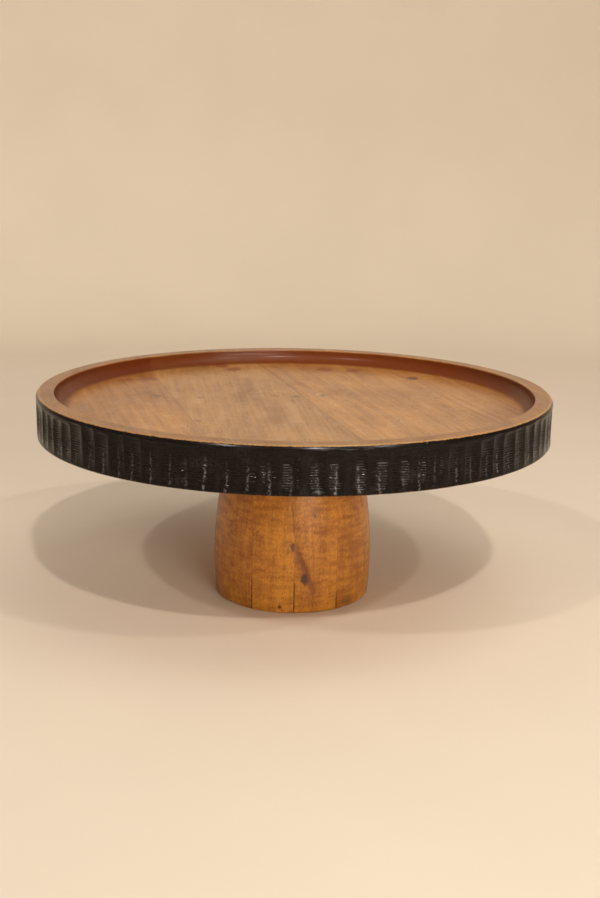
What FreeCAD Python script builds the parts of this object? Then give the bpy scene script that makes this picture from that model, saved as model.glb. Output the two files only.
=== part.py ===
import FreeCAD, Part
import math
import os

# Footed wooden cake stand: a round plate with a raised lip and a gouged edge, screwed to a turned foot.
# The plate is edge-glued from four boards and the foot is laminated from four thicker upright boards.
# An M8 hanger bolt in the foot turns into a threaded insert in the plate, so the stand comes apart.
# Millimetres, +Z up. The origin is on the table under the middle of the stand; -Y is the front.

STAND_HEIGHT = 127.0

# Plate
PLATE_RADIUS = 152.5
PLATE_THICKNESS = 25.4
LIP_WIDTH = 10.5
LIP_DEPTH = 9.0
COVE_RADIUS = 7.5  # hollow curve between the lip and the floor
EDGE_BEVEL = 1.6  # outer top edge
INNER_BEVEL = 0.8  # inner top edge
BOTTOM_BEVEL = 0.7
BOARD_WIDTH = 78.5
BOARD_JOINT = 9.0  # from the middle to the nearest glue line
BOARD_TURN = 15.0  # degrees anticlockwise from +Y to the boards' length, seen from above

# Gouged flutes round the plate's edge
FLUTE_COUNT = 90
FLUTE_DEPTH = 1.1  # at the plate's lower edge
FLUTE_WIDTH = 9.4  # at the plate's lower edge
FLUTE_END = 0.4  # depth where a flute stops
FLUTE_TOP = 2.6  # plain band left under the plate's top

# Foot
BELLY_RADIUS = 48.2
BELLY_HEIGHT = 24.0
SIDE_CURVE = 236.0  # radius of the foot's bulging side
FOOT_ROUND = 1.6
LAYER = 25.0  # thickness of each laminated board
LAYER_JOINT = 1.5  # x of the glue line nearest the middle

# M8 screw joint, drawn at its major diameter without the helix
BOLT_RADIUS = 4.0
BOLT_CLEARANCE = 0.05
BOLT_IN_FOOT = 32.0
BOLT_IN_PLATE = 11.0
BOLT_CHAMFER = 0.8
INSERT_RADIUS = 6.0
INSERT_LENGTH = 12.0
INSERT_CHAMFER = 0.6
INSERT_SPACE = 1.0  # left over the insert in its blind hole
WASHER_RADIUS = 15.0
WASHER_HOLE = 4.6
WASHER_THICKNESS = 1.0
WASHER_CLEARANCE = 0.4

GLUE_LINES = (-1, 0, 1)  # three joints make four boards, in the plate and in the foot
BIG = 400.0  # larger than the stand
Z_AXIS = FreeCAD.Vector(0, 0, 1)
FOOT_TOP = STAND_HEIGHT - PLATE_THICKNESS


def point(radius, height):
    """A point on the half-plane that the turned outlines are drawn in."""
    return FreeCAD.Vector(radius, 0, height)


def cylinder(radius, bottom, top):
    return Part.makeCylinder(radius, top - bottom, FreeCAD.Vector(0, 0, bottom))


def turned(edges):
    """The solid that a closed outline makes when it is turned about Z."""
    return Part.Face(Part.Wire(edges)).revolve(FreeCAD.Vector(), Z_AXIS, 360)


def line(start, end):
    return Part.LineSegment(start, end).toShape()


def corner(centre, radius, start, end):
    """An arc in the outline's plane. Angles are in degrees from outwards towards +Z."""
    def at(degrees):
        turn = math.radians(degrees)
        return centre + radius * FreeCAD.Vector(math.cos(turn), 0, math.sin(turn))
    return Part.Arc(at(start), at((start + end) / 2), at(end)).toShape()


def outline(pieces):
    """Closes a list of arcs and points into one outline: straight lines run from each to the next."""
    ends = []
    for piece in pieces:
        if isinstance(piece, FreeCAD.Vector):
            ends.append((piece, piece, None))
        else:
            ends.append((piece.firstVertex(True).Point, piece.lastVertex(True).Point, piece))
    edges = []
    for (_, leave, edge), (meet, _, _) in zip(ends, ends[1:] + ends[:1]):
        if edge:
            edges.append(edge)
        if leave.distanceToPoint(meet) > 1e-6:
            edges.append(line(leave, meet))
    return edges


def plate_blank():
    """The turned plate before it is gouged: a flat disc with a raised lip and a coved floor."""
    floor = STAND_HEIGHT - LIP_DEPTH
    lip_inside = PLATE_RADIUS - LIP_WIDTH
    return turned(outline([
        point(0, FOOT_TOP),
        point(PLATE_RADIUS - BOTTOM_BEVEL, FOOT_TOP),
        point(PLATE_RADIUS, FOOT_TOP + BOTTOM_BEVEL),
        point(PLATE_RADIUS, STAND_HEIGHT - EDGE_BEVEL),
        point(PLATE_RADIUS - EDGE_BEVEL, STAND_HEIGHT),
        point(lip_inside + INNER_BEVEL, STAND_HEIGHT),
        point(lip_inside, STAND_HEIGHT - INNER_BEVEL),
        corner(point(lip_inside - COVE_RADIUS, floor + COVE_RADIUS), COVE_RADIUS, 0, -90),
        point(0, floor),
    ]))


def flutes():
    """Scoops of a wide gouge, deepest at the plate's lower edge and stopping short of its top."""
    height = PLATE_THICKNESS - FLUTE_TOP
    lean = math.degrees(math.atan2(FLUTE_DEPTH - FLUTE_END, height))
    gouge = (FLUTE_WIDTH ** 2 / 4 + FLUTE_DEPTH ** 2) / (2 * FLUTE_DEPTH)
    scoop = cylinder(gouge, -2 * height, 0)
    scoop.rotate(FreeCAD.Vector(), FreeCAD.Vector(0, 1, 0), lean)
    scoop.translate(point(PLATE_RADIUS + gouge - FLUTE_END, STAND_HEIGHT - FLUTE_TOP))
    cuts = []
    for number in range(FLUTE_COUNT):
        cut = scoop.copy()
        cut.rotate(FreeCAD.Vector(), Z_AXIS, (number + 0.5) * 360 / FLUTE_COUNT)
        cuts.append(cut)
    return cuts


def sliced(solid, joints, turn):
    """Cuts a solid into boards at the given distances from the middle, first to last along +X."""
    limits = [-BIG] + joints + [BIG]
    boards = []
    for low, high in zip(limits, limits[1:]):
        slab = Part.makeBox(high - low, 2 * BIG, 2 * BIG, FreeCAD.Vector(low, -BIG, -BIG))
        slab.rotate(FreeCAD.Vector(), Z_AXIS, turn)
        boards.append(solid.common(slab))
    return boards


def plate_boards():
    """The plate's edge-glued boards. The one over the foot holds the insert's blind hole."""
    plate = plate_blank().cut(flutes())
    hole_top = FOOT_TOP + INSERT_LENGTH + INSERT_SPACE
    plate = plate.cut(cylinder(INSERT_RADIUS, FOOT_TOP, hole_top))
    joints = [BOARD_JOINT + BOARD_WIDTH * step for step in GLUE_LINES]
    boards = sliced(plate, joints, BOARD_TURN)
    return {f"plate_board_{number}": board for number, board in enumerate(boards, 1)}


def foot_side(height):
    """The foot's radius at a height."""
    rise = height - BELLY_HEIGHT
    return BELLY_RADIUS - SIDE_CURVE + math.sqrt(SIDE_CURVE ** 2 - rise ** 2)


def foot_boards():
    """The laminated foot, bored for the bolt and sunk at the top for the washer."""
    side = Part.Arc(*[point(foot_side(z), z) for z in (FOOT_ROUND, BELLY_HEIGHT, FOOT_TOP)]).toShape()
    foot = turned(outline([
        point(0, 0),
        corner(point(foot_side(FOOT_ROUND) - FOOT_ROUND, FOOT_ROUND), FOOT_ROUND, -90, 0),
        side,
        point(0, FOOT_TOP),
    ]))
    foot = foot.cut(cylinder(BOLT_RADIUS, FOOT_TOP - BOLT_IN_FOOT, FOOT_TOP))
    foot = foot.cut(cylinder(WASHER_RADIUS + WASHER_CLEARANCE, FOOT_TOP - WASHER_THICKNESS, FOOT_TOP))
    joints = [LAYER_JOINT + LAYER * step for step in GLUE_LINES]
    boards = sliced(foot, joints, 0)
    return {f"foot_board_{number}": board for number, board in enumerate(boards, 1)}


def hanger_bolt():
    """M8 hanger bolt: its wood thread is in the foot and its machine thread stands up into the plate."""
    bolt = cylinder(BOLT_RADIUS, FOOT_TOP - BOLT_IN_FOOT, FOOT_TOP + BOLT_IN_PLATE)
    return bolt.makeChamfer(BOLT_CHAMFER, [edge for edge in bolt.Edges if edge.Closed])


def threaded_insert():
    """M8 screw-in insert, flush with the plate's underside, its bore chamfered at both ends."""
    top = FOOT_TOP + INSERT_LENGTH
    bore = BOLT_RADIUS + BOLT_CLEARANCE
    insert = cylinder(INSERT_RADIUS, FOOT_TOP, top).cut(cylinder(bore, FOOT_TOP, top))
    rims = [e for e in insert.Edges if e.Closed and abs(e.Curve.Radius - bore) < BOLT_CLEARANCE]
    return insert.makeChamfer(INSERT_CHAMFER, rims)


def washer():
    """Loose rubber washer that the plate is tightened down on."""
    low = FOOT_TOP - WASHER_THICKNESS
    return cylinder(WASHER_RADIUS, low, FOOT_TOP).cut(cylinder(WASHER_HOLE, low, FOOT_TOP))


def main():
    nodes = {**plate_boards(), **foot_boards()}
    nodes["hanger_bolt"] = hanger_bolt()
    nodes["threaded_insert"] = threaded_insert()
    nodes["friction_washer"] = washer()
    os.makedirs("parts", exist_ok=True)
    for name, shape in nodes.items():
        shape.exportStep(f"parts/{name}.step")
        print(name, shape.isValid(), len(shape.Solids), "solid", round(shape.Volume), "mm3")


main()
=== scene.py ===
"""Wooden cake stand: a lipped plate with a gouged black edge, screwed onto a laminated turned foot.

Each piece of wood is shaped on the whole turned blank and then sawn into its boards.
Metres, +Z up, -Y is the front. Materials work in millimetres.
"""
import math

import bmesh
import bpy
import numpy as np
from bpy.props import FloatProperty, FloatVectorProperty, IntProperty, PointerProperty
from mathutils import Matrix, Vector


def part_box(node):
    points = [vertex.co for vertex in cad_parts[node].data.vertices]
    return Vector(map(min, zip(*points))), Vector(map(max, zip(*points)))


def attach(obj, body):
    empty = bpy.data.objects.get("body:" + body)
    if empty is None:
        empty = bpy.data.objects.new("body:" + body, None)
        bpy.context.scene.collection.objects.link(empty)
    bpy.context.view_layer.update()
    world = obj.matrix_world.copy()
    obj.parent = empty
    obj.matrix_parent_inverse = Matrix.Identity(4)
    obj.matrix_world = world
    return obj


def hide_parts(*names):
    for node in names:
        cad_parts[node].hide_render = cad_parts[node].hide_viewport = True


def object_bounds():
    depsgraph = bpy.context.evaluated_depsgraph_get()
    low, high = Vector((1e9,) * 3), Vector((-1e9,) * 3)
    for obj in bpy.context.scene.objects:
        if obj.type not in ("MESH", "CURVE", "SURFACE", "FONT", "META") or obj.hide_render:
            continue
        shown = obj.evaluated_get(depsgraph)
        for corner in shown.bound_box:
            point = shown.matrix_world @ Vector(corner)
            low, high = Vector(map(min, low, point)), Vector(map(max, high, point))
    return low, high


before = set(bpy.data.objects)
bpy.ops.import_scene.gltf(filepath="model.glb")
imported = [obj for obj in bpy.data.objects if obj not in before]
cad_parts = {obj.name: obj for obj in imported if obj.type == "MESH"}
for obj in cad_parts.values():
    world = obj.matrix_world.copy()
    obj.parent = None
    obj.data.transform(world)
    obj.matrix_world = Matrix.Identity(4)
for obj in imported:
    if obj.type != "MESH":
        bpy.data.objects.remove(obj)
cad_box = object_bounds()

bl_info = {
    "name": "Wooden cake stand",
    "version": (1, 0, 0),
    "blender": (4, 5, 0),
    "location": "3D View > Sidebar > Cake Stand",
    "description": "Builds a footed wooden cake stand with a gouged black edge",
    "category": "Add Mesh",
}

MM = 0.001
FULL_TURN = 2 * math.pi
X_AXIS, Z_AXIS = Vector((1, 0, 0)), Vector((0, 0, 1))
NEAR = 1e-7  # closer than this, two places are the same
LATHE_WELD = 2e-6  # joins the slices of a turned piece
WOOD_SMOOTH, METAL_SMOOTH = math.radians(38), math.radians(30)  # sharper edges than these stay sharp

PLATE_RADIUS = cad_box[1].x
PLATE_TOP = cad_box[1].z
PLATE_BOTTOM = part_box("plate_board_2")[0].z
BOLT_LOW, BOLT_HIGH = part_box("hanger_bolt")
INSERT_LOW, INSERT_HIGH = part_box("threaded_insert")
WASHER_LOW, WASHER_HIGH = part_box("friction_washer")
FOOT_JOINTS = [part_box(f"foot_board_{number}")[1].x for number in (1, 2, 3)]

PLATE_STEPS = 2400  # round the plate, about 0.4 mm apart at its edge
FOOT_STEPS = 720


# Sizes and colours that a user would change

def length(name, description, default):
    return FloatProperty(name=name, description=description, default=default, min=0.0, unit="LENGTH")


def colour(name, description, default):
    return FloatVectorProperty(
        name=name, description=description, default=default, min=0.0, max=1.0, size=3, subtype="COLOR"
    )


def power(name, description, default):
    return FloatProperty(name=name, description=description, default=default, min=0.0, unit="POWER")


class CakeStandPlate(bpy.types.PropertyGroup):
    lip_width: length("Lip width", "Width of the raised lip's flat top", 10.5 * MM)
    lip_depth: length("Lip depth", "Height of the lip over the plate's floor", 9 * MM)
    cove_radius: length("Cove", "Radius of the hollow between lip and floor", 7.5 * MM)
    edge_round: length("Outer edge", "Radius of the lip's outer top edge", 0.9 * MM)
    edge_wear: length("Worn edge", "Height of the worn bevel under the lip's outer top edge", 2.0 * MM)
    inner_round: length("Inner edge", "Radius of the lip's inner top edge", 0.8 * MM)
    bottom_round: length("Lower edge", "Radius of the plate's lower edge", 0.7 * MM)
    board_width: length("Board width", "Width of the boards that the plate is glued from", 78.5 * MM)
    board_joint: length("Joint", "Distance from the middle to the nearest glue line", 9 * MM)
    board_turn: FloatProperty(
        name="Board turn", description="Turn of the boards, seen from above", default=math.radians(15),
        subtype="ANGLE",
    )
    hole_depth: length("Insert hole", "Depth of the blind hole for the threaded insert", 13 * MM)
    scoop_count: IntProperty(name="Gouge marks", description="Scoops round the edge", default=90, min=12)
    scoop_depth: length("Gouge depth", "Usual depth of a scoop", 1.25 * MM)
    scoop_width: length("Gouge width", "Usual width of a scoop", 9.8 * MM)
    tan_light: colour("Tan, light", "Light tone of the tan boards", (0.57, 0.268, 0.070))
    tan_dark: colour("Tan, dark", "Dark tone of the tan boards", (0.25, 0.091, 0.022))
    olive_light: colour("Olive, light", "Light tone of the olive board", (0.51, 0.252, 0.073))
    olive_dark: colour("Olive, dark", "Dark tone of the olive board", (0.22, 0.088, 0.022))
    orange_light: colour("Orange, light", "Light tone of the orange board", (0.50, 0.218, 0.049))
    orange_dark: colour("Orange, dark", "Dark tone of the orange board", (0.20, 0.066, 0.014))
    paint: colour("Paint", "Black paint on the gouged edge", (0.0055, 0.0038, 0.0032))


class CakeStandFoot(bpy.types.PropertyGroup):
    belly_radius: length("Belly radius", "Largest radius of the foot", 48.2 * MM)
    belly_height: length("Belly height", "Height of the foot's widest place", 24 * MM)
    side_curve: length("Side curve", "Radius of the foot's bulging side", 236 * MM)
    bottom_round: length("Lower edge", "Radius of the foot's lower edge", 1.6 * MM)
    wood_light: colour("Wood, light", "Light tone of the foot", (0.57, 0.232, 0.024))
    wood_dark: colour("Wood, dark", "Dark tone of the foot", (0.28, 0.085, 0.006))
    bark: colour("Bark", "Bark pocket and open glue lines", (0.055, 0.020, 0.010))


class CakeStandFittings(bpy.types.PropertyGroup):
    machine_pitch: length("Machine pitch", "Pitch of the M8 machine thread", 1.25 * MM)
    wood_pitch: length("Wood pitch", "Pitch of the threads cut in wood", 3 * MM)
    steel: colour("Steel", "Zinc-plated hanger bolt", (0.56, 0.56, 0.53))
    brass: colour("Brass", "Threaded insert", (0.70, 0.50, 0.22))
    rubber: colour("Rubber", "Friction washer", (0.022, 0.021, 0.020))


class CakeStandStage(bpy.types.PropertyGroup):
    floor: colour("Floor", "Floor and wall of the studio", (0.74, 0.645, 0.52))
    key_power: power("Key light", "Large soft light", 6.5)
    fill_power: power("Fill light", "Low soft light", 1.95)
    lamp_power: power("Lamp", "Small light behind the camera", 25.0)
    sky: FloatProperty(name="Sky", description="Strength of the even light", default=0.36, min=0.0)


# Modelling helpers

def deselect():
    if bpy.context.object and bpy.context.object.mode != "OBJECT":
        bpy.ops.object.mode_set(mode="OBJECT")
    bpy.ops.object.select_all(action="DESELECT")


def pick(piece):
    """Selects one piece and nothing else."""
    deselect()
    piece.select_set(True)
    bpy.context.view_layer.objects.active = piece


def everything():
    """In edit mode, selects the whole mesh."""
    bpy.ops.mesh.select_all(action="SELECT")


def edit(piece):
    """Puts one piece in edit mode with nothing else selected."""
    pick(piece)
    bpy.ops.object.mode_set(mode="EDIT")
    everything()


def choose(kind, test):
    """In edit mode, selects only the vertices, edges or faces whose middle passes a test."""
    bpy.ops.mesh.select_mode(type=kind)
    bpy.ops.mesh.select_all(action="DESELECT")
    data = bpy.context.object.data
    mesh = bmesh.from_edit_mesh(data)
    middles = {
        "VERT": lambda vertex: vertex.co, "EDGE": lambda side: (side.verts[0].co + side.verts[1].co) / 2,
        "FACE": lambda face: face.calc_center_median(),
    }
    for part in {"VERT": mesh.verts, "EDGE": mesh.edges, "FACE": mesh.faces}[kind]:
        if test(middles[kind](part)):
            part.select_set(True)
    mesh.select_flush_mode()
    bmesh.update_edit_mesh(data)


def cut(place, normal, **keep):
    """In edit mode, cuts everything by a plane."""
    everything()
    bpy.ops.mesh.bisect(plane_co=place, plane_no=normal, threshold=NEAR, **keep)


def half_section(name, radius, low, high):
    """An upright sheet from the turning axis to a radius, which a turned piece starts from."""
    deselect()
    bpy.ops.mesh.primitive_plane_add(
        size=1, location=(radius / 2, 0, (low + high) / 2), rotation=(math.pi / 2, 0, 0)
    )
    piece = bpy.context.object
    piece.scale = (radius, high - low, 1)
    bpy.ops.object.transform_apply(location=True, rotation=True, scale=True)
    piece.name = name
    edit(piece)
    return piece


def notch(radius, low, high):
    """Cuts a rectangle, next to the axis, out of a half section."""
    cut(X_AXIS * radius, X_AXIS)
    cut(Z_AXIS * low, Z_AXIS)
    cut(Z_AXIS * high, Z_AXIS)
    choose("FACE", lambda c: c.x < radius and low < c.z < high)
    bpy.ops.mesh.delete(type="FACE")
    everything()
    bpy.ops.mesh.dissolve_limited(angle_limit=math.radians(0.1))


def round_corner(radius, height, by, segments):
    """Rounds one corner of a half section."""
    corner = Vector((radius, 0, height))
    choose("VERT", lambda c: (c - corner).length < 10 * NEAR)
    bpy.ops.mesh.bevel(offset=by, segments=segments, affect="VERTICES", profile=0.5)


def outline_only():
    """Leaves only the outline of a half section, open at the axis."""
    everything()
    bpy.ops.mesh.delete(type="ONLY_FACE")
    choose("EDGE", lambda c: c.x < NEAR)
    bpy.ops.mesh.delete(type="EDGE")


def divide(test, pieces):
    """Divides the chosen edges of an outline into equal pieces."""
    choose("EDGE", test)
    bpy.ops.mesh.subdivide(number_cuts=pieces - 1)


def turn_on_lathe(steps, discs=()):
    """Spins the outline round Z, one slice and then its copies, and makes one face of each flat disc."""
    slices = max(count for count in range(1, math.isqrt(steps) + 1) if steps % count == 0)
    for one_spin in (
        {"steps": steps // slices, "angle": FULL_TURN / slices},
        {"steps": slices - 1, "angle": FULL_TURN * (1 - 1 / slices), "dupli": True},
    ):
        everything()
        bpy.ops.mesh.spin(**one_spin, center=(0, 0, 0), axis=(0, 0, 1))
    everything()
    bpy.ops.mesh.remove_doubles(threshold=LATHE_WELD)
    for height, radius in discs:
        choose("FACE", lambda c: abs(c.z - height) < NEAR and math.hypot(c.x, c.y) < radius)
        bpy.ops.mesh.dissolve_faces()
    everything()
    bpy.ops.mesh.normals_make_consistent(inside=False)
    bpy.ops.object.mode_set(mode="OBJECT")


def points_of(piece):
    """The places of a mesh's vertices, one row each."""
    points = np.empty(3 * len(piece.data.vertices), np.float32)
    piece.data.vertices.foreach_get("co", points)
    return points.reshape(-1, 3).astype(float)


def move_points(piece, points):
    piece.data.vertices.foreach_set("co", points.astype(np.float32).ravel())
    piece.data.update()


def smooth(share):
    """0 to 1 with soft ends, for shares outside 0 to 1 too."""
    share = np.clip(share, 0, 1)
    return share * share * (3 - 2 * share)


def round_wave(angle, seed, waves):
    """A slow random wobble round a turned piece, about -1 to 1."""
    dice = np.random.default_rng(seed)
    total = sum(dice.uniform(0.4, 1) * np.sin(wave * angle + dice.uniform(0, FULL_TURN)) for wave in waves)
    return total / len(waves)


def towards_axis(points, by):
    """Moves points inwards, level, by a distance each."""
    radius = np.hypot(points[:, 0], points[:, 1])
    share = 1 - by / np.maximum(radius, NEAR)
    moved = points.copy()
    moved[:, :2] *= share[:, None]
    return moved


def saw(whole, name, low, high, across):
    """A copy of a whole piece sawn off at two distances along a direction, with its cut faces closed."""
    pick(whole)
    bpy.ops.object.duplicate()
    board = bpy.context.object
    board.name = name
    board.data.name = name
    edit(board)
    if low is not None:
        cut(across * low, across, use_fill=True, clear_inner=True)
    if high is not None:
        cut(across * high, across, use_fill=True, clear_outer=True)
    bpy.ops.object.mode_set(mode="OBJECT")
    bpy.ops.object.shade_smooth_by_angle(angle=WOOD_SMOOTH)
    return board


def saw_boards(whole, names, joints, across):
    """Saws a whole piece at its glue lines and uses it up."""
    limits = [None, *joints, None]
    boards = [saw(whole, name, low, high, across) for name, low, high in zip(names, limits, limits[1:])]
    bpy.data.objects.remove(whole)
    return boards


def place_piece(piece, node, body, material):
    """Lets a finished piece stand for its CAD node."""
    piece.data.materials.clear()
    piece.data.materials.append(material)
    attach(piece, body)
    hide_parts(node)


# Shader maths

class Number:
    """A socket that carries a number, so that sums of sockets are written as sums."""

    def __init__(self, surface, socket):
        self.surface = surface
        self.socket = socket

    def __add__(self, other):
        return self.surface.maths("ADD", self, other)

    def __sub__(self, other):
        return self.surface.maths("SUBTRACT", self, other)

    def __rsub__(self, other):
        return self.surface.maths("SUBTRACT", other, self)

    def __mul__(self, other):
        return self.surface.maths("MULTIPLY", self, other)

    def __truediv__(self, other):
        return self.surface.maths("DIVIDE", self, other)

    def __pow__(self, other):
        return self.surface.maths("POWER", self, other)

    __radd__ = __add__
    __rmul__ = __mul__

    def clamped(self):
        return self.surface.maths("ADD", self, 0.0, clamp=True)

    def above(self, low, high):
        """0 at low, 1 at high, smooth between them. The two may be in either order."""
        return self.surface.node(
            "ShaderNodeMapRange", {"interpolation_type": "SMOOTHSTEP"},
            {"Value": self, "From Min": low, "From Max": high}, "Result",
        )


def shade(tone, share):
    """A colour made darker or lighter."""
    return tuple(share * number for number in tone)


class Surface:
    """One material and the nodes that it is made of."""

    def __init__(self, name):
        self.material = bpy.data.materials.new(name)
        self.material.use_nodes = True
        self.tree = self.material.node_tree
        self.shader = self.tree.nodes["Principled BSDF"]

    def set(self, socket, value):
        if isinstance(value, Number):
            value = value.socket
        if isinstance(value, bpy.types.NodeSocket):
            self.tree.links.new(value, socket)
        elif isinstance(value, (tuple, list)) and len(value) == 3 and socket.type == "RGBA":
            socket.default_value = (*value, 1)
        else:
            socket.default_value = value

    def node(self, kind, settings, inputs, output=0):
        """Adds a node: its settings first, then the values or links of its sockets. Gives one output."""
        node = self.tree.nodes.new(kind)
        for name, value in settings.items():
            setattr(node, name, value)
        for name, value in inputs.items():
            self.set(node.inputs[name], value)
        socket = node.outputs[output]
        return Number(self, socket) if socket.type == "VALUE" else socket

    def maths(self, operation, first, second=0.0, clamp=False):
        settings = {"operation": operation, "use_clamp": clamp}
        return self.node("ShaderNodeMath", settings, {0: first, 1: second})

    def size_of(self, number):
        """A number without its sign."""
        return self.maths("ABSOLUTE", number)

    def wave(self, turns):
        """A sine of a number of full turns."""
        return self.maths("SINE", turns * FULL_TURN)

    def apart(self, vector):
        """The three numbers of a vector."""
        return [self.node("ShaderNodeSeparateXYZ", {}, {0: vector}, axis) for axis in "XYZ"]

    def vector(self, x, y, z):
        return self.node("ShaderNodeCombineXYZ", {}, {0: x, 1: y, 2: z})

    def place(self):
        """Object coordinates in millimetres."""
        return [number / MM for number in self.apart(self.node("ShaderNodeTexCoord", {}, {}, "Object"))]

    def facing(self):
        """The direction that the surface faces."""
        return self.apart(self.node("ShaderNodeTexCoord", {}, {}, "Normal"))

    def noise(self, x, y, z, detail=2.0, roughness=0.5, distortion=0.0):
        return self.node(
            "ShaderNodeTexNoise", {},
            {"Vector": self.vector(x, y, z), "Scale": 1.0, "Detail": detail, "Roughness": roughness,
             "Distortion": distortion},
            "Fac",
        )

    def mix(self, share, first, second):
        """Blends two colours. The node's colour sockets are its inputs 6 and 7 and its output 2."""
        settings = {"data_type": "RGBA", "clamp_factor": True}
        return self.node("ShaderNodeMix", settings, {0: share, 6: first, 7: second}, 2)

    def attribute(self, name):
        return self.node("ShaderNodeAttribute", {"attribute_name": name}, {}, "Fac")

    def bump(self, height_mm):
        return self.node("ShaderNodeBump", {}, {"Height": height_mm, "Distance": MM, "Strength": 1.0})

    def finish(self, **inputs):
        """Sets the shader's sockets, spaces in their names written as underscores."""
        for name, value in inputs.items():
            self.set(self.shader.inputs[name.replace("_", " ")], value)
        return self.material


def spot(u, v, middle, radius, long):
    """1 in the middle of an oval mark, fading to 0 at its edge; long stretches it along v."""
    du = (u - middle[0]) / radius
    dv = (v - middle[1]) / (radius * long)
    return (du * du + dv * dv).above(1.0, 0.15)


def stripe(u, v, start, end, half_width):
    """1 along a line between two places, fading to 0 at its sides and tapering at its ends."""
    run, rise = end[0] - start[0], end[1] - start[1]
    square = run * run + rise * rise
    share = (((u - start[0]) * run + (v - start[1]) * rise) / square).clamped()
    du = u - start[0] - share * run
    dv = v - start[1] - share * rise
    taper = (share * (1 - share) * 4) ** 0.35
    return (du * du + dv * dv).above(half_width ** 2, 0.1 * half_width ** 2) * taper


def wood_grain(surface, across, along, depth, dark, light, seed, figure, pore_share):
    """Colour, pores and height of bare wood. figure is how much the bands across the grain show."""
    a, g, d = across + seed * 37.0, along + seed * 91.0, depth + seed * 53.0
    sway = surface.noise(a / 55, g / 190, d / 55, detail=1.0)
    cloud = surface.noise(a / 26, g / 70, d / 26, detail=3.0)
    streak = surface.noise(a / 2.6, g / 95, d / 2.6, detail=3.0, distortion=0.4)
    fibre = surface.noise(a / 0.55, g / 14, d / 0.55, detail=2.0)
    curl = surface.noise(a / 11, g / 3.2, d / 11, detail=2.5)
    ring_place = (across * across + (depth - 60) * (depth - 60)) ** 0.5 + sway * 46
    ring = surface.wave(ring_place / 6.5)
    fleck = surface.noise(a / 0.9, g / 1.5, d / 0.9, detail=2.0, roughness=0.6)
    pore = surface.noise(a / 0.36, g / 3.4, d / 0.36, detail=1.0).above(0.60, 0.70)
    tone = (
        0.5 + (cloud - 0.5) * 1.5 + (streak - 0.5) * 0.95 + ring * 0.055
        + (fibre - 0.5) * 0.45 + (curl - 0.5) * figure + (fleck - 0.5) * figure * 0.8
    ).clamped()
    base = surface.mix(tone, dark, light)
    base = surface.mix(pore * pore_share, base, shade(dark, 0.35))
    height = (fibre - 0.5) * 0.02 - pore * 0.05 + (cloud - 0.5) * 0.10
    return base, pore, height


# Plate

# marks on the plate's floor: x, y, radius, stretch along the grain, strength (millimetres)
RED_MARKS = (
    (-51.7, 121, 7, 1.2, 0.75), (-42.6, 108.5, 7.5, 1.3, 0.8), (-95.6, 67, 7, 1.1, 0.65),
    (20.7, 113.7, 7, 1.6, 0.75), (40, 111, 6.5, 1.4, 0.7), (-110, 62, 8, 1.0, 0.5),
)
DARK_MARKS = (
    (78.8, 85, 5.2, 1.5, 0.85), (-11.6, 16.8, 2.4, 1.5, 0.55), (0.5, 15.5, 3.4, 1.8, 0.6),
    (17.2, 20.7, 2.0, 3.0, 0.6), (-84, 10.3, 2.6, 2.0, 0.6), (-57.3, 7.7, 2.8, 1.6, 0.55),
    (-54.2, -59.4, 2.2, 1.8, 0.5), (87.8, 18, 3.0, 1.3, 0.4),
)
LIGHT_MARKS = ((14.5, 23, 3.0, 1.5, 0.5),)
# tints of the reddish blotches on the far floor, the dark knots and the pale knot
RED_BLOTCH, DARK_KNOT, PALE_KNOT = (0.21, 0.047, 0.012), (0.085, 0.030, 0.014), (0.60, 0.36, 0.17)
DARK_STREAK, LIGHT_STREAK = (0.14, 0.062, 0.028), (0.56, 0.34, 0.16)
OLIVE_SLANT = math.radians(7.5)  # of the second board's grain

# painted sheen on the paint, painted highlight streaks down the scoops, and the bare wood above it
PAINT_SHEEN, PAINT_HIGHLIGHT, BARE_ARRIS = (0.034, 0.030, 0.029), (0.145, 0.134, 0.130), (0.60, 0.37, 0.15)

# chips in the lip's outer edge: degrees round the plate, half width, depth (millimetres)
EDGE_CHIPS = (
    (-117.5, 1.6, 0.7), (-124.0, 1.0, 0.6), (-64.8, 1.3, 0.7), (-37.0, 1.1, 0.6), (71.0, 1.4, 0.7),
)
WORN_SLOPE = 0.55  # of the worn bevel, inwards for each unit of height


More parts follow.
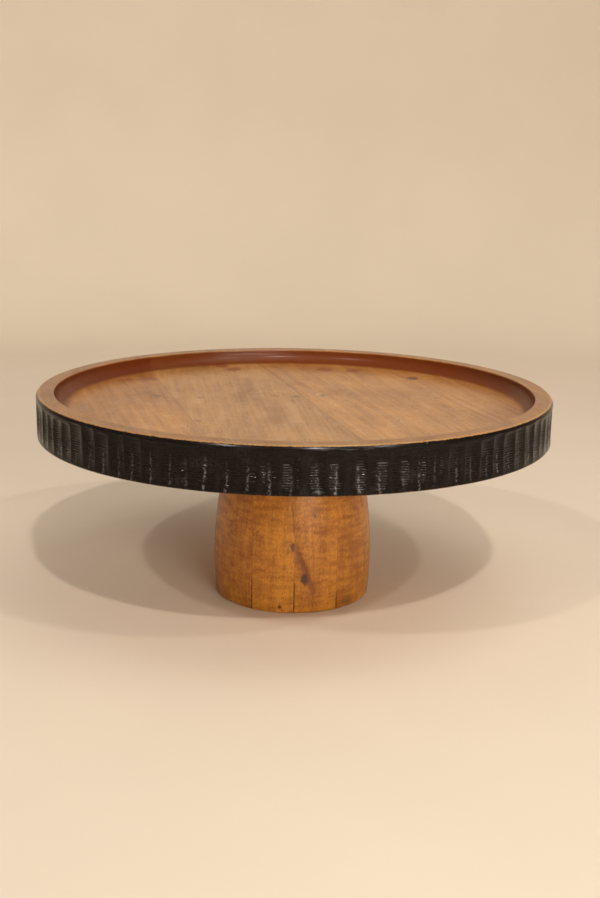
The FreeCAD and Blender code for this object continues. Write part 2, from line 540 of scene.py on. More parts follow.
def scoops(angle, height, plate):
    """Depth of the scoops, no two alike, and share of painted highlight at places round the plate."""
    count = plate.scoop_count
    dice = np.random.default_rng(7)
    shift = dice.uniform(-0.13, 0.13, count)
    half_width = plate.scoop_width / 2 * dice.uniform(0.88, 1.10, count)
    depth = plate.scoop_depth * dice.uniform(0.70, 1.15, count)
    top = PLATE_TOP - MM * dice.uniform(2.0, 3.8, count)
    foot = PLATE_BOTTOM + MM * dice.uniform(-0.8, 1.8, count)
    lean = dice.uniform(-0.07, 0.05, count)
    bow = dice.uniform(-1.0, 1.0, count) * MM
    beat = MM * dice.uniform(1.5, 2.4, count)
    phase = dice.uniform(0, FULL_TURN, count)
    highlight_share = dice.uniform(0.35, 1.0, count)
    highlight_side = dice.uniform(-0.9, 0.9, count) * MM
    pitch = FULL_TURN / count
    slot = np.floor(angle / pitch).astype(int)
    deepest, painted_highlight = np.zeros_like(angle), np.zeros_like(angle)
    for neighbour in (-1, 0, 1):
        k = (slot + neighbour) % count
        share = (top[k] - height) / (top[k] - foot[k])
        inside = (share > 0) & (share < 1)
        share = np.clip(share, 0, 1) ** 0.85
        middle = (slot + neighbour + 0.5 + shift[k]) * pitch
        aside = (angle - middle) * PLATE_RADIUS - lean[k] * (height - PLATE_BOTTOM)
        aside -= bow[k] * (2 * share - 1) ** 2
        hollow = (4 * share * (1 - share)) ** (0.45 + 0.5 * share)
        across = np.clip(1 - (aside / (1.12 * half_width[k])) ** 2, 0, 1)
        scoop = depth[k] * hollow * across
        chatter = 0.055 * MM * np.sin(FULL_TURN * height / beat[k] + phase[k])
        scoop += chatter * smooth(scoop / (0.5 * MM))
        deepest = np.where(inside, np.maximum(deepest, scoop), deepest)
        # painted highlight: a narrow light line down the lower part of each scoop, where the lamp's glint
        # falls
        line = np.exp(-((aside - highlight_side[k]) / (0.62 * MM)) ** 2) * smooth((share - 0.22) / 0.5)
        painted_highlight = np.where(inside, np.maximum(painted_highlight, highlight_share[k] * line), painted_highlight)
    return deepest, painted_highlight


def carve_plate(blank, plate):
    """Gouges the edge, wears its arrises, and keeps the scoops' depth and the painted highlight lines for
    the paint.
    """
    points = points_of(blank)
    radius = np.hypot(points[:, 0], points[:, 1])
    angle = np.arctan2(points[:, 1], points[:, 0]) % FULL_TURN
    height = points[:, 2]
    lip = PLATE_RADIUS - plate.lip_width
    on_edge = radius > PLATE_RADIUS - 1.05 * plate.edge_round
    scooped, painted_highlight = scoops(angle, height, plate)
    depth = np.where(on_edge, scooped, 0)
    wobble = 0.06 * MM * (1 + round_wave(angle, 3, (2, 3, 5, 9)))
    wear = 0.07 * MM * (1 + round_wave(angle, 5, (17, 31, 53, 84)))
    over_top = height - PLATE_TOP
    arris = smooth((over_top + 2.4 * MM) / (1.4 * MM)) * smooth((0.2 * MM - over_top) / MM)
    facet = WORN_SLOPE * np.clip(over_top + plate.edge_wear, 0, None)
    inwards = np.where(on_edge, depth + wobble + wear * arris + facet, 0)
    for degrees, size, bite in EDGE_CHIPS:
        away = (angle - math.radians(degrees) + math.pi) % FULL_TURN - math.pi
        near = (away * PLATE_RADIUS / (size * MM)) ** 2 + ((over_top + 0.6 * MM) / (1.2 * MM)) ** 2
        inwards += np.where(on_edge, bite * MM * smooth(1 - near), 0)
    points = towards_axis(points, inwards)
    on_lip = (over_top > -10 * NEAR) & (radius > lip)
    points[:, 2] -= np.where(on_lip, 0.05 * MM * (1 + round_wave(angle, 11, (3, 7, 12, 19))), 0)
    move_points(blank, points)
    for name, values in (("hollow", depth / MM), ("painted_highlight", np.where(on_edge, painted_highlight, 0))):
        layer = blank.data.attributes.new(name, "FLOAT", "POINT")
        layer.data.foreach_set("value", values.astype(np.float32))


def board_wood(number, plate):
    """Varnished wood of one plate board with its marks, and black paint round its gouged edge."""
    tan = (plate.tan_dark, plate.tan_light)
    tones = {1: (plate.orange_dark, plate.orange_light), 2: (plate.olive_dark, plate.olive_light)}
    dark, light = [tuple(tone) for tone in tones.get(number, tan)]
    surface = Surface(f"plate_board_{number}_varnished")
    x, y, z = surface.place()
    turn = plate.board_turn - (OLIVE_SLANT if number == 2 else 0)
    across = x * math.cos(turn) + y * math.sin(turn)
    along = y * math.cos(turn) - x * math.sin(turn)
    base, pore, height = wood_grain(surface, across, along, z, dark, light, number, 0.35, 0.3)
    base = board_marks(surface, number, plate, base, x, y)
    radius = (x * x + y * y) ** 0.5
    top_mm, bottom_mm, edge_mm = PLATE_TOP / MM, PLATE_BOTTOM / MM, PLATE_RADIUS / MM
    lip_mm = edge_mm - plate.lip_width / MM

    # glue lines, end grain, the darker lip, and painted shade in the cove and on the lip's inner wall,
    # with their darker end grain
    square = x * math.cos(plate.board_turn) + y * math.sin(plate.board_turn)
    for step in (-1, 0, 1):
        joint = (plate.board_joint + step * plate.board_width) / MM
        seam = surface.size_of(square - joint).above(0.30, 0.08)
        base = surface.mix(seam * 0.45, base, shade(dark, 0.3))
        height = height - seam * 0.06
    nx, ny, _ = surface.facing()
    end_grain = surface.size_of(ny * math.cos(turn) - nx * math.sin(turn)).above(0.45, 0.95)
    on_wall = radius.above(lip_mm - 9, lip_mm - 4) * z.above(top_mm + 0.3, top_mm - 1.2)
    base = surface.mix(end_grain * 0.25, base, shade(dark, 0.55))
    on_lip = radius.above(lip_mm + 0.2, lip_mm + 1) * z.above(top_mm - 1, top_mm - 0.5)
    base = surface.mix(on_lip * 0.42, base, shade(dark, 0.6))
    # painted shade: the cove and the lip's inner wall made darker and redder, partly their real end grain
    base = surface.mix(on_wall * 0.94, base, (0.48 * dark[0], 0.22 * dark[1], 0.08 * dark[2]))

    # where the paint is, and its colour
    ragged = surface.noise(x / 1.6, y / 1.6, z / 1.6, detail=3.0)
    fine = surface.noise(x / 0.35, y / 0.35, z / 0.9, detail=2.0)
    torn = surface.noise(x / 0.8, y / 0.8, z / 2.6, detail=3.0, roughness=0.62)
    level = top_mm - 0.6 + (ragged - 0.5) * 0.9
    inner_limit = edge_mm - 3.2 - (ragged - 0.5) * 1.6
    painted = (z - level).above(0.10, -0.10) * (radius - inner_limit).above(-0.1, 0.1)
    hollow = surface.attribute("hollow")
    worn = (ragged * 0.55 + fine * 0.45).above(0.640, 0.70) * hollow.above(0.25, 0.0)
    worn = worn * (z - level).above(-4.0, -0.2) + (fine - hollow * 0.04).above(0.745, 0.79) * 0.25
    paint = tuple(plate.paint)
    paint_tone = surface.mix(ragged.above(0.4, 0.65) * 0.5, paint, shade(paint, 2.2))
    paint_tone = surface.mix(worn.clamped() * 0.55, paint_tone, shade(dark, 0.5))
    # painted sheen: grey patches on the black paint stand in for reflection off its rough surface
    painted_sheen = surface.noise(x / 15, y / 15, z / 8, detail=2.0).above(0.50, 0.68) * torn.above(0.42, 0.62)
    paint_tone = surface.mix(painted_sheen * 0.3, paint_tone, PAINT_SHEEN)
    dots = surface.noise(x / 0.9, y / 0.9, z / 1.3, detail=2.0).above(0.44, 0.60)
    # painted highlight: light dotted streaks down the scoops stand in for the lamp's glint on the black
    # paint
    highlight_share = dots * surface.attribute("painted_highlight")
    paint_tone = surface.mix(highlight_share.clamped(), paint_tone, PAINT_HIGHLIGHT)
    low_edge = z.above(bottom_mm + 0.75, bottom_mm + 0.15) * ragged.above(0.36, 0.56)
    paint_tone = surface.mix(low_edge * 0.75, paint_tone, shade(dark, 0.55))
    arris = (radius - edge_mm).above(-2.6, -1.4) * z.above(top_mm - 1.2, top_mm - 0.3)
    base = surface.mix(arris * fine.above(0.35, 0.5) * 0.45, base, BARE_ARRIS)
    base = surface.mix(painted, base, paint_tone)

    # small tool marks in the scoops, torn paint between them, and gloss
    in_scoop = hollow.above(0.1, 0.7)
    low_half = z.above(top_mm - 7, top_mm - 13)
    drift = surface.noise(x / 11, y / 11, z / 4, detail=1.0)
    keen = surface.noise(x / 13, y / 13, z / 4, detail=1.0)
    steps = surface.wave(z / 1.3 + drift * 0.4)
    rough_cut = steps * keen * hollow.above(0.3, 0.7) * (0.03 + low_half * 0.20)
    calm = in_scoop * 0.93 + z.above(top_mm - 3.5, top_mm - 2) * (1 - in_scoop * 0.93)
    rough_cut = rough_cut + ((torn - 0.5) * 0.13 + (fine - 0.5) * 0.05) * (1 - calm)
    height = height * (1 - painted) + painted * rough_cut
    sheen = 0.36 + (surface.noise(x / 9, y / 22, z / 9, detail=3.0) - 0.5) * 0.30 + pore * 0.2
    gloss = 0.105 + (torn - 0.5) * 0.08 + z.above(top_mm - 3, top_mm - 1.5) * 0.10
    varnish = (1 - painted) * (0.6 - on_wall * 0.45)
    return surface.finish(
        Base_Color=base, Roughness=sheen + (gloss - sheen) * painted, Normal=surface.bump(height), IOR=1.5,
        Specular_IOR_Level=0.125, Coat_Weight=varnish, Coat_Roughness=0.22,
    )


def board_marks(surface, number, plate, base, x, y):
    """Knots, reddish blotches and streaks on the floor of the plate, on the board that they lie on."""
    stain = surface.noise(x / 4.2, y / 4.2, 0.0, detail=3.0)
    swirl = surface.noise(x / 4.2, y / 4.2, 40.0, detail=3.0)
    u = x + (stain - 0.5) * 9
    v = y + (swirl - 0.5) * 12
    for marks, tint in ((RED_MARKS, RED_BLOTCH), (DARK_MARKS, DARK_KNOT), (LIGHT_MARKS, PALE_KNOT)):
        for mark_x, mark_y, size, long, strength in marks:
            across = mark_x * math.cos(plate.board_turn) + mark_y * math.sin(plate.board_turn)
            board = 2 + math.floor((across * MM - plate.board_joint) / plate.board_width + 1)
            if board == number:
                mark = spot(u, v, (mark_x, mark_y), size, long) * strength
                base = surface.mix(mark, base, tint)
    if number == 2:
        base = surface.mix(stripe(u, v, (-33, 80), (-19, -22), 3.4) * 0.3, base, DARK_STREAK)
        base = surface.mix(stripe(u, v, (-3.4, 0), (3.6, -62), 4.2) * 0.28, base, LIGHT_STREAK)
    return base


# Foot

# open glue lines at the foot's lower edge: which joint, top of the crack, depth (millimetres)
FOOT_CRACKS = ((0, 25, 0.8), (1, 23, 1.0), (2, 14, 0.8))
# chips in the foot's lower edge: degrees round the foot, height, half width, depth (millimetres)
FOOT_CHIPS = ((-98.5, 2.4, 1.6, 1.1), (-47.0, 0.8, 2.2, 0.5), (-140.0, 0.6, 2.0, 0.5))
# x and z of the ends of the bark pocket, its darker border and a hair crack on the front (millimetres)
BARK_START, BARK_END = (1.2, 43.5), (13.2, 12.0)
HALO_START, HALO_END = (0.0, 47), (13.8, 9)
HAIR_START, HAIR_END = (1.3, 47), (-0.6, 68)
# small bark marks on the front: (x, z), radius, stretch upwards, strength (millimetres)
FOOT_MARKS = (
    ((7.4, 21.5), 2.6, 1.9, 0.9), ((0.4, 41.5), 1.5, 2.2, 0.8), ((-2.6, 39), 1.0, 2.6, 0.45),
    ((-4.3, 29), 1.4, 1.6, 0.35), ((12.8, 59), 1.0, 1.1, 0.6), ((-20.5, 48.5), 1.0, 1.1, 0.5),
    ((33.0, 5.0), 4.0, 0.9, 0.45), ((-7.0, 4.0), 1.5, 1.2, 0.8),
)
POCKET_TONE = (0.16, 0.048, 0.016)


def foot_side(height, foot):
    """Radius of the foot at a height."""
    rise = np.asarray(height) - foot.belly_height
    return foot.belly_radius - foot.side_curve + np.sqrt(foot.side_curve ** 2 - rise ** 2)


def carve_foot(blank, foot):
    """Opens the glue lines, sinks the bark pocket and takes chips off the lower edge."""
    points = points_of(blank)
    radius = np.hypot(points[:, 0], points[:, 1])
    angle = np.arctan2(points[:, 1], points[:, 0])
    height = points[:, 2]
    outside = (radius > foot_side(height, foot) - 1.8 * MM) & (height < PLATE_BOTTOM - 10 * NEAR)
    front = outside & (points[:, 1] < 0)
    inwards = np.where(outside, 0.05 * MM * (1 + round_wave(angle, 21, (2, 3, 5, 8))), 0)
    for joint, crack_top, depth in FOOT_CRACKS:
        on_joint = front & (np.abs(points[:, 0] - FOOT_JOINTS[joint]) < 0.02 * MM)
        open_share = smooth((crack_top * MM - height) / (9 * MM))
        inwards += np.where(on_joint, depth * MM * open_share, 0)
    start, end = np.array(BARK_START) * MM, np.array(BARK_END) * MM
    run = end - start
    offset = points[:, [0, 2]] - start
    share = np.clip(offset @ run / (run @ run), 0, 1)
    away = np.linalg.norm(offset - share[:, None] * run, axis=1)
    inwards += np.where(front, 0.30 * MM * smooth(1 - away / (2.2 * MM)), 0)
    for degrees, chip_height, size, bite in FOOT_CHIPS:
        along = (angle - math.radians(degrees)) * foot.belly_radius
        near = (along / (size * MM)) ** 2 + ((height - chip_height * MM) / (size * MM)) ** 2
        inwards += np.where(outside, bite * MM * smooth(1 - near), 0)
    move_points(blank, towards_axis(points, inwards))


def foot_wood(number, foot):
    """Varnished upright grain of one foot board, with its dark glue lines and the bark pocket."""
    dark, light = tuple(foot.wood_dark), tuple(foot.wood_light)
    bark = tuple(foot.bark)
    surface = Surface(f"foot_board_{number}_varnished")
    x, y, z = surface.place()
    base, pore, height = wood_grain(surface, x, z, y, dark, light, number + 4, 1.7, 0.5)
    front = y.above(0.0, -5.0)
    ragged = surface.noise(x / 1.8, y / 1.8, z / 4.5, detail=3.0)
    u, v = x + (ragged - 0.5) * 2.2, z + (ragged - 0.5) * 3

    for joint_x in FOOT_JOINTS:
        away = surface.size_of(x - joint_x / MM)
        base = surface.mix(away.above(0.25, 0.05) * (0.18 + ragged * 0.25), base, bark)
    for joint, crack_top, _ in FOOT_CRACKS:
        away = surface.size_of(x + (ragged - 0.5) * 0.8 - FOOT_JOINTS[joint] / MM)
        crack = away.above(0.36, 0.10) * z.above(crack_top + 1, crack_top - 9) * front
        base = surface.mix(crack * (0.55 + ragged * 0.7), base, shade(bark, 0.5))

    pocket = stripe(u, v, BARK_START, BARK_END, 2.3) * front
    base = surface.mix(pocket * 0.80, base, POCKET_TONE)
    halo = stripe(u, v, HALO_START, HALO_END, 5.0) * front
    base = surface.mix(halo * 0.28, base, shade(dark, 0.8))
    for middle, size, long, strength in FOOT_MARKS:
        base = surface.mix(spot(u, v, middle, size, long) * front * strength, base, bark)
    hair = stripe(x + (ragged - 0.5) * 1.2, z, HAIR_START, HAIR_END, 0.42) * front
    base = surface.mix(hair * 0.6, base, bark)

    _, _, nz = surface.facing()
    end_grain = surface.size_of(nz).above(0.6, 0.95)
    base = surface.mix(end_grain * 0.4, base, shade(dark, 0.6))
    height = height - pocket * 0.15
    sheen = 0.40 + (surface.noise(x / 9, y / 9, z / 18, detail=3.0) - 0.5) * 0.30 + (pore + pocket) * 0.2
    return surface.finish(
        Base_Color=base, Roughness=sheen, Normal=surface.bump(height), IOR=1.5, Specular_IOR_Level=0.4,
        Coat_Weight=0.15, Coat_Roughness=0.26,
    )


# Screw joint

# shares of a thread's outer radius: its crests, and the cores of the machine, wood and insert threads
CREST, MACHINE_CORE, WOOD_CORE, INSERT_CORE = 0.995, 0.83, 0.68, 0.88
SHANK = 0.93  # the bolt's plain part, as a share of its radius
BORE_PLAY = 0.05 * MM  # between the bolt's crests and the insert's bore
TAP_DEPTH = 0.5 * MM
SLOT_WIDTH, SLOT_HEIGHT = 1.8 * MM, 2.6 * MM  # half of the height is in the insert
WASHER_HOLE, WASHER_ROUND, WASHER_ROOM = 4.6 * MM, 0.22 * MM, 0.4 * MM
WASHER_RING = 0.12 * MM  # depth of the grooves beside the washer's rings


def threaded_rod(name, core, crest, pitch, low, high):
    """A rod with a real helical thread, cut square at both ends."""
    piece = half_section(name, core, low - pitch, low)
    outline_only()
    choose("EDGE", lambda c: c.x < core - 10 * NEAR)
    bpy.ops.mesh.delete(type="EDGE")
    divide(lambda c: True, 4)
    choose("VERT", lambda c: abs(c.z - low + pitch / 2) < NEAR)
    bpy.ops.transform.translate(value=(crest - core, 0, 0))
    bpy.ops.mesh.bevel(offset=pitch / 12, segments=1, affect="VERTICES")
    bpy.ops.object.mode_set(mode="OBJECT")
    screw = piece.modifiers.new("thread", "SCREW")
    screw.screw_offset = pitch
    screw.iterations = math.ceil((high - low) / pitch) + 2
    screw.steps = screw.render_steps = 40
    screw.use_merge_vertices = True
    screw.merge_threshold = NEAR
    bpy.ops.object.modifier_apply(modifier="thread")
    edit(piece)
    bpy.ops.mesh.remove_doubles(threshold=NEAR)
    cut(Z_AXIS * low, Z_AXIS, use_fill=True, clear_inner=True)
    cut(Z_AXIS * high, Z_AXIS, use_fill=True, clear_outer=True)
    everything()
    bpy.ops.mesh.normals_make_consistent(inside=False)
    bpy.ops.object.mode_set(mode="OBJECT")
    return piece


def combine(piece, tool, operation):
    """Joins, cuts or trims a piece with another closed piece, which is used up."""
    pick(piece)
    change = piece.modifiers.new(operation, "BOOLEAN")
    change.operation = operation
    change.solver = "EXACT"
    change.object = tool
    bpy.ops.object.modifier_apply(modifier=change.name)
    bpy.data.objects.remove(tool)


def make_bolt(fittings):
    """Hanger bolt: machine thread above, plain shank, wood thread and a point below."""
    radius = BOLT_HIGH.x
    shank_low, shank_high = PLATE_BOTTOM - 8 * MM, PLATE_BOTTOM - 3 * MM
    piece = threaded_rod(
        "hanger_bolt_threaded", MACHINE_CORE * radius, CREST * radius, fittings.machine_pitch,
        shank_high - MM, BOLT_HIGH.z,
    )
    wood_end = threaded_rod(
        "wood_end", WOOD_CORE * radius, CREST * radius, fittings.wood_pitch, BOLT_LOW.z, shank_low + MM
    )
    combine(piece, wood_end, "UNION")
    shank = half_section("shank", SHANK * radius, shank_low, shank_high)
    round_corner(SHANK * radius, shank_low, 0.5 * MM, 3)
    outline_only()
    turn_on_lathe(48)
    combine(piece, shank, "UNION")
    envelope = half_section("envelope", 1.01 * radius, BOLT_LOW.z - MM, BOLT_HIGH.z)
    round_corner(1.01 * radius, BOLT_HIGH.z, 0.9 * MM, 2)
    choose("VERT", lambda c: c.x > radius and c.z < BOLT_LOW.z)
    bpy.ops.transform.translate(value=(-0.75 * radius, 0, 0))
    outline_only()
    turn_on_lathe(64)
    combine(piece, envelope, "INTERSECT")
    bpy.ops.object.shade_smooth_by_angle(angle=METAL_SMOOTH)
    return piece


def make_insert(fittings):
    """Slotted insert with a coarse outer thread and an M8 bore."""
    radius = INSERT_HIGH.x
    bore = BOLT_HIGH.x + BORE_PLAY
    low, high = INSERT_LOW.z, INSERT_HIGH.z
    piece = threaded_rod(
        "threaded_insert_slotted", INSERT_CORE * radius, CREST * radius, fittings.wood_pitch, low, high
    )
    tap = threaded_rod("tap", bore, bore + TAP_DEPTH, fittings.machine_pitch, low - MM, high + MM)
    combine(piece, tap, "DIFFERENCE")
    deselect()
    bpy.ops.mesh.primitive_cube_add(size=1, location=(0, 0, low))
    slot = bpy.context.object
    slot.scale = (4 * radius, SLOT_WIDTH, SLOT_HEIGHT)
    bpy.ops.object.transform_apply(location=True, rotation=True, scale=True)
    combine(piece, slot, "DIFFERENCE")
    bpy.ops.object.shade_smooth_by_angle(angle=METAL_SMOOTH)
    return piece


def make_washer():
    """Moulded washer with soft corners and raised rings on its upper face."""
    hole, radius = WASHER_HOLE, WASHER_HIGH.x
    low, high = WASHER_LOW.z, WASHER_HIGH.z
    piece = half_section("friction_washer_moulded", radius, low, high)
    notch(hole, low - MM, high + MM)
    for corner_radius in (hole, radius):
        for corner_height in (low, high):
            round_corner(corner_radius, corner_height, WASHER_ROUND, 4)
    everything()
    bpy.ops.mesh.delete(type="ONLY_FACE")
    divide(lambda c: c.z > high - NEAR, 9)
    choose("VERT", lambda c: c.z > high - NEAR and hole + 2 * MM < c.x < radius - 2 * MM)
    mesh = bmesh.from_edit_mesh(piece.data)
    for number, vertex in enumerate(sorted((v for v in mesh.verts if v.select), key=lambda v: v.co.x)):
        vertex.co.z -= WASHER_RING * (number % 2)
    bmesh.update_edit_mesh(piece.data)
    turn_on_lathe(120)
    bpy.ops.object.shade_smooth_by_angle(angle=METAL_SMOOTH)
    return piece


def metal(name, tint, roughness):
    """Plain plated or turned metal with fine tool marks round its axis."""
    surface = Surface(name)
    x, y, z = surface.place()
    haze = surface.noise(x / 1.2, y / 1.2, z / 0.5, detail=3.0)
    marks = surface.noise(x / 4, y / 4, z / 0.06, detail=1.0)
    tone = surface.mix(haze.above(0.35, 0.7), shade(tint, 0.72), tuple(tint))
    return surface.finish(
        Base_Color=tone, Metallic=1.0, Roughness=roughness + (haze - 0.5) * 0.3,
        Normal=surface.bump((marks - 0.5) * 0.01),
    )


def rubber(tint):
    """Matt black rubber with a little dust."""
    surface = Surface("washer_rubber_matt")
    x, y, z = surface.place()
    dust = surface.noise(x / 0.8, y / 0.8, z / 0.8, detail=4.0)
    tone = surface.mix(dust.above(0.45, 0.75) * 0.6, tuple(tint), shade(tint, 2.5))
    return surface.finish(
        Base_Color=tone, Roughness=0.62 + (dust - 0.5) * 0.3, Normal=surface.bump((dust - 0.5) * 0.03)
    )


# Operators

class MESH_OT_cake_stand_plate(bpy.types.Operator):
    """Turns the lipped plate, gouges its edge and saws it into its four boards"""
    bl_idname = "mesh.cake_stand_plate"
    bl_label = "Plate"

    def execute(self, context):
        plate = context.scene.cake_stand_plate
        floor = PLATE_TOP - plate.lip_depth
        lip = PLATE_RADIUS - plate.lip_width
        hole = INSERT_HIGH.x
        hole_top = PLATE_BOTTOM + plate.hole_depth
        blank = half_section("plate_blank", PLATE_RADIUS, PLATE_BOTTOM, PLATE_TOP)
        notch(lip, floor, PLATE_TOP + MM)
        notch(hole, PLATE_BOTTOM - MM, hole_top)
        round_corner(PLATE_RADIUS, PLATE_TOP, plate.edge_round, 6)
        round_corner(PLATE_RADIUS, PLATE_BOTTOM, plate.bottom_round, 3)
        round_corner(lip, PLATE_TOP, plate.inner_round, 4)
        round_corner(lip, floor, plate.cove_radius, 10)
        outline_only()
        side_low, side_high = PLATE_BOTTOM + plate.bottom_round, PLATE_TOP - plate.edge_round
        divide(lambda c: c.x > PLATE_RADIUS - NEAR and side_low < c.z < side_high, 56)
        divide(lambda c: c.z > PLATE_TOP - NEAR, 4)
        turn_on_lathe(PLATE_STEPS, ((floor, lip), (hole_top, hole)))
        carve_plate(blank, plate)
        across = Matrix.Rotation(plate.board_turn, 3, "Z") @ X_AXIS
        joints = [plate.board_joint + step * plate.board_width for step in (-1, 0, 1)]
        names = [f"plate_board_{number}_carved" for number in (1, 2, 3, 4)]
        slots = ("plate_wood_orange", "plate_wood_olive", "plate_wood_tan", "plate_wood_tan")
        boards = saw_boards(blank, names, joints, across)
        for number, (board, slot) in enumerate(zip(boards, slots), 1):
            place_piece(board, f"plate_board_{number}", "plate", board_wood(number, plate))
        return {"FINISHED"}


class MESH_OT_cake_stand_foot(bpy.types.Operator):
    """Turns the laminated foot, opens its glue lines and saws it into its four boards"""
    bl_idname = "mesh.cake_stand_foot"
    bl_label = "Foot"

    def execute(self, context):
        foot = context.scene.cake_stand_foot
        top = PLATE_BOTTOM
        width = float(foot_side(foot.bottom_round, foot))
        blank = half_section("foot_blank", width, 0, top)
        notch(WASHER_HIGH.x + WASHER_ROOM, WASHER_LOW.z, top + MM)
        notch(BOLT_HIGH.x, BOLT_LOW.z, WASHER_LOW.z)
        round_corner(width, 0, foot.bottom_round, 5)
        outline_only()
        divide(lambda c: c.x > width - NEAR and c.z > foot.bottom_round, 112)
        choose("VERT", lambda c: c.x > width - NEAR and c.z > foot.bottom_round + NEAR)
        mesh = bmesh.from_edit_mesh(blank.data)
        for vertex in mesh.verts:
            if vertex.select:
                vertex.co.x = float(foot_side(vertex.co.z, foot))
        bmesh.update_edit_mesh(blank.data)
        turn_on_lathe(FOOT_STEPS, ((0, width), (BOLT_LOW.z, BOLT_HIGH.x)))
        edit(blank)
        for joint in FOOT_JOINTS:
            for aside in (-0.3 * MM, 0, 0.3 * MM):
                cut(X_AXIS * (joint + aside), X_AXIS)
        bpy.ops.object.mode_set(mode="OBJECT")
        carve_foot(blank, foot)
        names = [f"foot_board_{number}_turned" for number in (1, 2, 3, 4)]
        for number, board in enumerate(saw_boards(blank, names, FOOT_JOINTS, X_AXIS), 1):
            place_piece(board, f"foot_board_{number}", "foot", foot_wood(number, foot))
        return {"FINISHED"}


class MESH_OT_cake_stand_fittings(bpy.types.Operator):
    """Makes the hanger bolt, the threaded insert and the friction washer"""
    bl_idname = "mesh.cake_stand_fittings"
    bl_label = "Screw joint"

    def execute(self, context):
        fittings = context.scene.cake_stand_fittings
        place_piece(
            make_bolt(fittings), "hanger_bolt", "foot",
            metal("bolt_zinc_plated", fittings.steel, 0.34),
        )
        place_piece(
            make_insert(fittings), "threaded_insert", "plate",
            metal("insert_brass_turned", fittings.brass, 0.30),
        )
        place_piece(make_washer(), "friction_washer", "washer", rubber(fittings.rubber))
        return {"FINISHED"}


# Studio

ROOM_RADIUS, ROOM_HEIGHT, ROOM_COVE = 1.3, 0.9, 0.34
DAYLIGHT, LAMPLIGHT, SKYLIGHT = (1.0, 0.93, 0.83), (1.0, 0.90, 0.84), (1.0, 0.93, 0.84)
LAMP_SIZE = (0.10, 0.07)
SIDE_LAMPS = 0.45  # power of each, as a share of the lamp's
FILL_SPREAD = math.radians(75)
CAMERA_PLACE = Vector((0, -0.70994, 0.26068))
CAMERA_PITCH, CAMERA_YAW, CAMERA_ROLL = math.radians(13.63), math.radians(0.3), math.radians(0.99)
CAMERA_LENS, CAMERA_FILM = 48.1, 36  # millimetres


def add_light(name, place, target, size, power, tint):
    """A soft oblong light that looks at a target."""
    bpy.ops.object.light_add(type="AREA", location=place)
    light = bpy.context.object
    light.name = name
    light.data.shape = "RECTANGLE"
    light.data.size, light.data.size_y = size
    light.data.energy = power
    light.data.color = tint
    light.rotation_mode = "QUATERNION"
    light.rotation_quaternion = (Vector(target) - Vector(place)).to_track_quat("-Z", "Y")
    return light


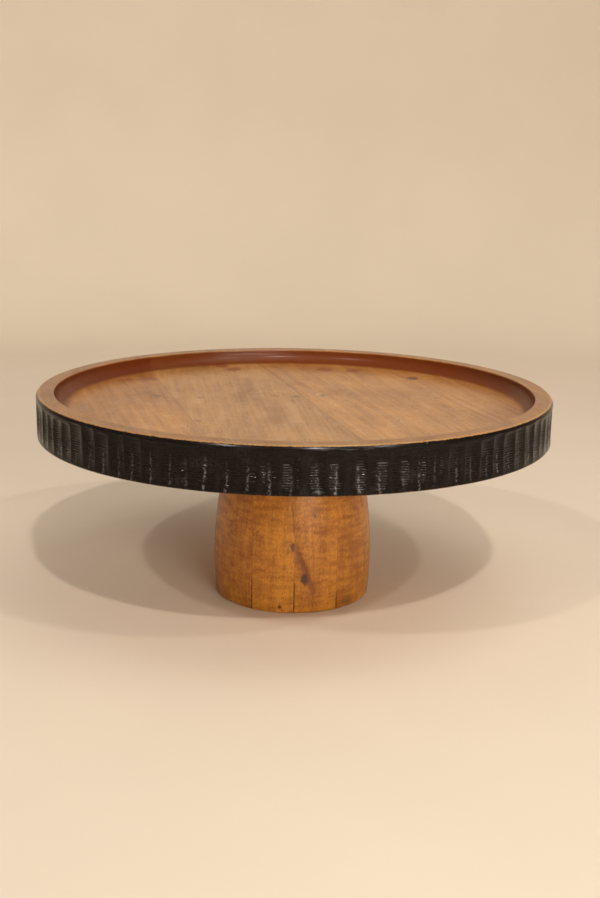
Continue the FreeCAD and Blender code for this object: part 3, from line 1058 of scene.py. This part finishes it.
class MESH_OT_cake_stand_stage(bpy.types.Operator):
    """Makes the pale round studio, its lights and the camera"""
    bl_idname = "mesh.cake_stand_stage"
    bl_label = "Studio"

    def execute(self, context):
        stage = context.scene.cake_stand_stage
        self.make_room(stage)
        plate_middle, foot_middle = (0, 0, PLATE_TOP), (0, 0, 0.06)
        add_light("key", (0.45, -0.35, 1.60), plate_middle, (1.0, 1.0), stage.key_power, DAYLIGHT)
        fill = add_light("fill", (0.50, -1.13, 0.38), foot_middle, (0.7, 0.4), stage.fill_power, DAYLIGHT)
        fill.data.spread = FILL_SPREAD
        for name, place, share in (
            ("lamp", (0.37, -1.95, 1.98), 1), ("left_lamp", (-1.05, -1.55, 1.95), SIDE_LAMPS),
            ("right_lamp", (1.40, -1.45, 2.05), SIDE_LAMPS),
        ):
            add_light(name, place, plate_middle, LAMP_SIZE, stage.lamp_power * share, LAMPLIGHT)
        world = bpy.data.worlds.new("studio_sky")
        context.scene.world = world
        world.use_nodes = True
        sky = world.node_tree.nodes["Background"]
        sky.inputs["Color"].default_value = (*SKYLIGHT, 1)
        sky.inputs["Strength"].default_value = stage.sky
        context.scene.view_settings.view_transform = "Standard"
        self.make_camera(context)
        return {"FINISHED"}

    def make_room(self, stage):
        """A round floor that curves up into a wall all round."""
        deselect()
        bpy.ops.mesh.primitive_cylinder_add(
            vertices=160, radius=ROOM_RADIUS, depth=ROOM_HEIGHT, location=(0, 0, ROOM_HEIGHT / 2)
        )
        room = bpy.context.object
        room.name = "studio_room"
        bpy.ops.object.transform_apply(location=True, rotation=True, scale=True)
        edit(room)
        choose("FACE", lambda c: c.z > ROOM_HEIGHT - MM)
        bpy.ops.mesh.delete(type="FACE")
        choose("EDGE", lambda c: c.z < MM)
        bpy.ops.mesh.bevel(offset=ROOM_COVE, segments=14, affect="EDGES", profile=0.5)
        everything()
        bpy.ops.mesh.flip_normals()
        bpy.ops.object.mode_set(mode="OBJECT")
        bpy.ops.object.shade_smooth_by_angle(angle=math.radians(60))
        surface = Surface("studio_pale")
        x, y, z = surface.place()
        cloud = surface.noise(x / 160, y / 160, z / 160, detail=3.0)
        pale = tuple(stage.floor)
        tone = surface.mix(cloud.above(0.3, 0.7), shade(pale, 0.97), pale)
        darker_wall = y.above(1180, 500) * z.above(100, 420)
        tone = surface.mix(darker_wall, tone, shade(pale, 0.3))
        room.data.materials.append(surface.finish(Base_Color=tone, Roughness=0.85))

    def make_camera(self, context):
        """The camera stands a little above the plate and looks slightly down on it."""
        right = Vector((math.cos(CAMERA_YAW), -math.sin(CAMERA_YAW), 0))
        level = Vector((math.sin(CAMERA_YAW), math.cos(CAMERA_YAW), 0))
        ahead = level * math.cos(CAMERA_PITCH) - Z_AXIS * math.sin(CAMERA_PITCH)
        up = right.cross(ahead)
        rolled = Matrix.Rotation(-CAMERA_ROLL, 3, ahead)
        turned = Matrix((rolled @ right, rolled @ up, -ahead)).transposed()
        bpy.ops.object.camera_add(location=CAMERA_PLACE)
        camera = bpy.context.object
        camera.matrix_world = Matrix.Translation(CAMERA_PLACE) @ turned.to_4x4()
        camera.data.lens = CAMERA_LENS
        camera.data.sensor_width = CAMERA_FILM
        camera.data.clip_start = 0.01
        context.scene.camera = camera


class VIEW3D_PT_cake_stand(bpy.types.Panel):
    """Lists the pieces of the cake stand"""
    bl_idname = "VIEW3D_PT_cake_stand"
    bl_label = "Cake Stand"
    bl_space_type = "VIEW_3D"
    bl_region_type = "UI"
    bl_category = "Cake Stand"

    def draw(self, context):
        for name, settings in GROUPS.items():
            box = self.layout.box()
            group = getattr(context.scene, name)
            for setting in settings.__annotations__:
                box.prop(group, setting)
            box.operator(f"mesh.{name}")


GROUPS = {
    "cake_stand_plate": CakeStandPlate,
    "cake_stand_foot": CakeStandFoot,
    "cake_stand_fittings": CakeStandFittings,
    "cake_stand_stage": CakeStandStage,
}
CLASSES = (
    *GROUPS.values(), MESH_OT_cake_stand_plate, MESH_OT_cake_stand_foot, MESH_OT_cake_stand_fittings,
    MESH_OT_cake_stand_stage, VIEW3D_PT_cake_stand,
)


def register():
    for one in CLASSES:
        bpy.utils.register_class(one)
    for name, settings in GROUPS.items():
        setattr(bpy.types.Scene, name, PointerProperty(type=settings))


def unregister():
    for name in GROUPS:
        delattr(bpy.types.Scene, name)
    for one in reversed(CLASSES):
        bpy.utils.unregister_class(one)


def main():
    register()
    bpy.ops.mesh.cake_stand_plate()
    bpy.ops.mesh.cake_stand_foot()
    bpy.ops.mesh.cake_stand_fittings()
    bpy.ops.mesh.cake_stand_stage()
    deselect()


if __name__ == "__main__":
    main()
